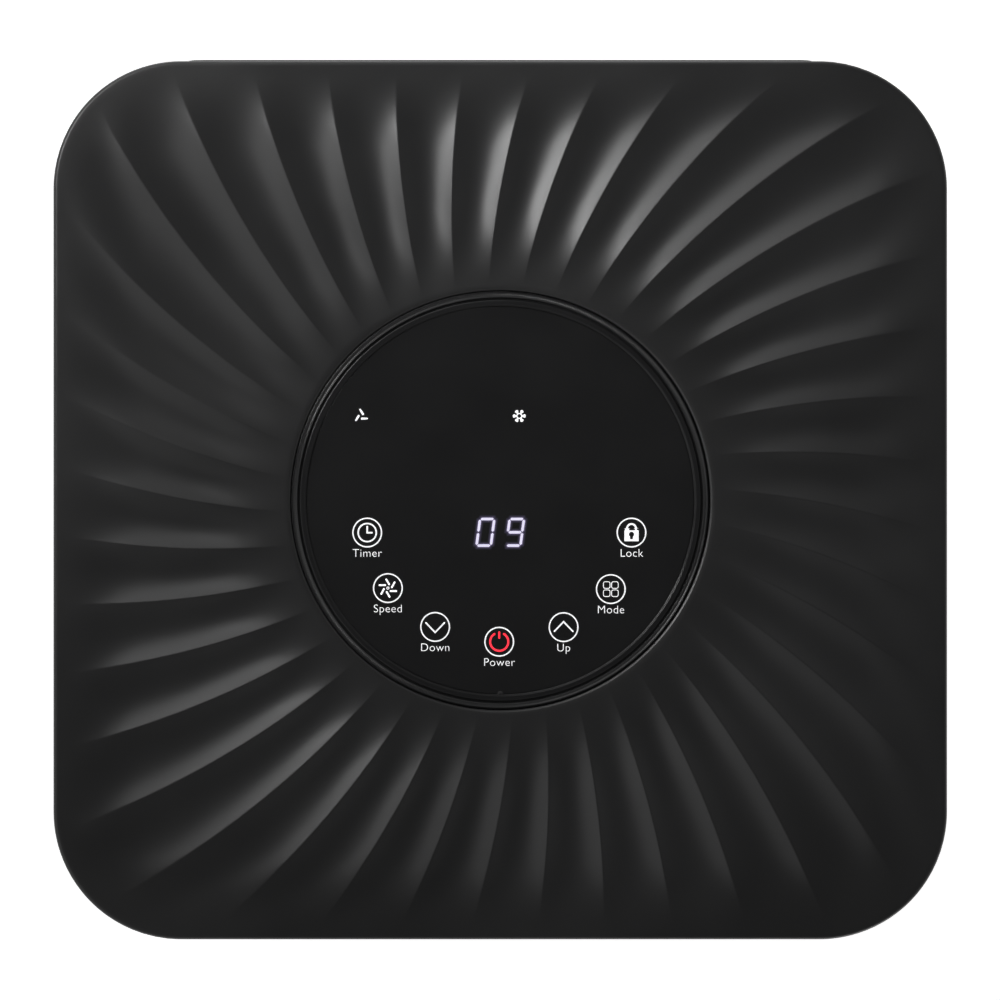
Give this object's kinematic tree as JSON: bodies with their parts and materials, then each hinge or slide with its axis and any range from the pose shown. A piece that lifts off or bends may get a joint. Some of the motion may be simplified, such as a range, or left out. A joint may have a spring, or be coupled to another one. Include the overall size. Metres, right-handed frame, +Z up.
{
  "type": "portable air conditioner",
  "caption": "Square tower air conditioner on casters, with a spirally fluted top cover, a round touch panel, a front outlet with swing blades and a rear exhaust port.",
  "frame": {"origin": "on the floor, under the middle of the plan of the top cover", "axes": "+Z up, -Y out of the front with the air outlet, +X to the user's right when facing the front"},
  "size_m": [0.35, 0.3484, 0.7],
  "materials": {
    "cover_plastic": "fine satin texture",
    "shell_plastic": "fine matte texture",
    "dark_plastic": "matte",
    "glass_black": "black back-printed gloss glass",
    "trim_gloss": "gloss black",
    "grey_plastic": "matte",
    "board": "solder mask",
    "steel": "zinc plated",
    "coil_fins": "bare fins",
    "compressor_paint": "gloss black paint",
    "pipe_copper": "copper tube",
    "rubber": "soft rubber",
    "mesh": "fine woven nylon mesh",
    "wheel_plastic": "hard nylon"
  },
  "bodies": {
    "cabinet": {"top_cover": "cover_plastic", "trim_ring": "trim_gloss", "touch_glass": "glass_black", "display_module": "grey_plastic", "control_board": "board", "panel_carrier": "grey_plastic", "top_frame": "grey_plastic", "front_shell": "shell_plastic", "rear_shell": "shell_plastic", "left_panel": "shell_plastic", "right_panel": "shell_plastic", "base_tray": "dark_plastic", "outlet_frame": "dark_plastic", "swing_motor": "steel", "outlet_duct": "grey_plastic", "upper_scroll": "grey_plastic", "upper_motor": "steel", "evaporator": "coil_fins", "divider_deck": "grey_plastic", "lower_scroll": "grey_plastic", "lower_motor": "steel", "condenser": "coil_fins", "exhaust_port": "shell_plastic", "compressor": "compressor_paint", "compressor_feet": "rubber", "refrigerant_pipes": "pipe_copper", "electrics_box": "grey_plastic", "upper_grille": "shell_plastic", "lower_grille": "shell_plastic", "grip_cups": "dark_plastic", "cord_gland": "dark_plastic", "drain_ports": "dark_plastic", "casing_screws": "steel"},
    "blade_1": {"swing_blade_1": "dark_plastic"},
    "blade_2": {"swing_blade_2": "dark_plastic"},
    "blade_3": {"swing_blade_3": "dark_plastic"},
    "blade_link": {"swing_link": "grey_plastic"},
    "vane_1_body": {"vane_1": "dark_plastic"},
    "vane_2_body": {"vane_2": "dark_plastic"},
    "vane_3_body": {"vane_3": "dark_plastic"},
    "vane_4_body": {"vane_4": "dark_plastic"},
    "vane_5_body": {"vane_5": "dark_plastic"},
    "vane_6_body": {"vane_6": "dark_plastic"},
    "vane_link_body": {"vane_link": "grey_plastic"},
    "upper_wheel": {"upper_blower": "dark_plastic"},
    "lower_wheel": {"lower_blower": "dark_plastic"},
    "upper_filter": {"upper_filter_frame": "dark_plastic", "upper_filter_mesh": "mesh"},
    "upper_plug": {"upper_drain_plug": "rubber"},
    "lower_filter": {"lower_filter_frame": "dark_plastic", "lower_filter_mesh": "mesh"},
    "lower_plug": {"lower_drain_plug": "rubber"},
    "caster_1": {"caster_fork_1": "steel"},
    "wheel_1": {"caster_wheel_1": "wheel_plastic"},
    "caster_2": {"caster_fork_2": "steel"},
    "wheel_2": {"caster_wheel_2": "wheel_plastic"},
    "caster_3": {"caster_fork_3": "steel"},
    "wheel_3": {"caster_wheel_3": "wheel_plastic"},
    "caster_4": {"caster_fork_4": "steel"},
    "wheel_4": {"caster_wheel_4": "wheel_plastic"}
  },
  "joints": [
    {"name": "blade_1_swing", "type": "hinge", "parent": "cabinet", "child": "blade_1", "pos_m": [0, -0.158, 0.567], "axis": [1, 0, 0], "range_deg": [-65, 35]},
    {"name": "blade_2_swing", "type": "hinge", "parent": "cabinet", "child": "blade_2", "pos_m": [0, -0.158, 0.593], "axis": [1, 0, 0], "range_deg": [-65, 35]},
    {"name": "blade_3_swing", "type": "hinge", "parent": "cabinet", "child": "blade_3", "pos_m": [0, -0.158, 0.619], "axis": [1, 0, 0], "range_deg": [-65, 35]},
    {"name": "blade_link_pivot", "type": "hinge", "parent": "blade_1", "child": "blade_link", "pos_m": [0.122, -0.14931, 0.56933], "axis": [1, 0, 0], "range_deg": [-35, 65]},
    {"name": "vane_1_turn", "type": "hinge", "parent": "cabinet", "child": "vane_1_body", "pos_m": [-0.095, -0.133, 0.6], "axis": [0, 0, 1], "range_deg": [-40, 40]},
    {"name": "vane_2_turn", "type": "hinge", "parent": "cabinet", "child": "vane_2_body", "pos_m": [-0.057, -0.133, 0.6], "axis": [0, 0, 1], "range_deg": [-40, 40]},
    {"name": "vane_3_turn", "type": "hinge", "parent": "cabinet", "child": "vane_3_body", "pos_m": [-0.019, -0.133, 0.6], "axis": [0, 0, 1], "range_deg": [-40, 40]},
    {"name": "vane_4_turn", "type": "hinge", "parent": "cabinet", "child": "vane_4_body", "pos_m": [0.019, -0.133, 0.6], "axis": [0, 0, 1], "range_deg": [-40, 40]},
    {"name": "vane_5_turn", "type": "hinge", "parent": "cabinet", "child": "vane_5_body", "pos_m": [0.057, -0.133, 0.6], "axis": [0, 0, 1], "range_deg": [-40, 40]},
    {"name": "vane_6_turn", "type": "hinge", "parent": "cabinet", "child": "vane_6_body", "pos_m": [0.095, -0.133, 0.6], "axis": [0, 0, 1], "range_deg": [-40, 40]},
    {"name": "vane_link_pivot", "type": "hinge", "parent": "vane_1_body", "child": "vane_link_body", "pos_m": [-0.095, -0.125, 0.552], "axis": [0, 0, 1], "range_deg": [-40, 40]},
    {"name": "upper_blower_spin", "type": "hinge", "parent": "cabinet", "child": "upper_wheel", "pos_m": [0, 0.017, 0.487], "axis": [0, 1, 0], "continuous": true},
    {"name": "lower_blower_spin", "type": "hinge", "parent": "cabinet", "child": "lower_wheel", "pos_m": [0.045, 0.06, 0.184], "axis": [0, 1, 0], "continuous": true},
    {"name": "upper_filter_slide", "type": "slide", "parent": "cabinet", "child": "upper_filter", "axis": [1, 0, 0], "range_m": [0, 0.255]},
    {"name": "upper_plug_pull", "type": "slide", "parent": "cabinet", "child": "upper_plug", "axis": [0, 1, 0], "range_m": [0, 0.03]},
    {"name": "lower_filter_slide", "type": "slide", "parent": "cabinet", "child": "lower_filter", "axis": [1, 0, 0], "range_m": [0, 0.255]},
    {"name": "lower_plug_pull", "type": "slide", "parent": "cabinet", "child": "lower_plug", "axis": [0, 1, 0], "range_m": [0, 0.03]},
    {"name": "caster_1_swivel", "type": "hinge", "parent": "cabinet", "child": "caster_1", "pos_m": [0.128, 0.124, 0.05], "axis": [0, 0, 1], "continuous": true},
    {"name": "wheel_1_roll", "type": "hinge", "parent": "caster_1", "child": "wheel_1", "pos_m": [0.128, 0.14, 0.018], "axis": [1, 0, 0], "continuous": true},
    {"name": "caster_2_swivel", "type": "hinge", "parent": "cabinet", "child": "caster_2", "pos_m": [-0.128, 0.124, 0.05], "axis": [0, 0, 1], "continuous": true},
    {"name": "wheel_2_roll", "type": "hinge", "parent": "caster_2", "child": "wheel_2", "pos_m": [-0.128, 0.14, 0.018], "axis": [1, 0, 0], "continuous": true},
    {"name": "caster_3_swivel", "type": "hinge", "parent": "cabinet", "child": "caster_3", "pos_m": [0.128, -0.124, 0.05], "axis": [0, 0, 1], "continuous": true},
    {"name": "wheel_3_roll", "type": "hinge", "parent": "caster_3", "child": "wheel_3", "pos_m": [0.128, -0.108, 0.018], "axis": [1, 0, 0], "continuous": true},
    {"name": "caster_4_swivel", "type": "hinge", "parent": "cabinet", "child": "caster_4", "pos_m": [-0.128, -0.124, 0.05], "axis": [0, 0, 1], "continuous": true},
    {"name": "wheel_4_roll", "type": "hinge", "parent": "caster_4", "child": "wheel_4", "pos_m": [-0.128, -0.108, 0.018], "axis": [1, 0, 0], "continuous": true}
  ],
  "couplings": [
    {"joint": "blade_2_swing", "follows": "blade_1_swing", "ratio": 1},
    {"joint": "blade_3_swing", "follows": "blade_1_swing", "ratio": 1},
    {"joint": "blade_link_pivot", "follows": "blade_1_swing", "ratio": -1},
    {"joint": "vane_2_turn", "follows": "vane_1_turn", "ratio": 1},
    {"joint": "vane_3_turn", "follows": "vane_1_turn", "ratio": 1},
    {"joint": "vane_4_turn", "follows": "vane_1_turn", "ratio": 1},
    {"joint": "vane_5_turn", "follows": "vane_1_turn", "ratio": 1},
    {"joint": "vane_6_turn", "follows": "vane_1_turn", "ratio": 1},
    {"joint": "vane_link_pivot", "follows": "vane_1_turn", "ratio": -1}
  ]
}
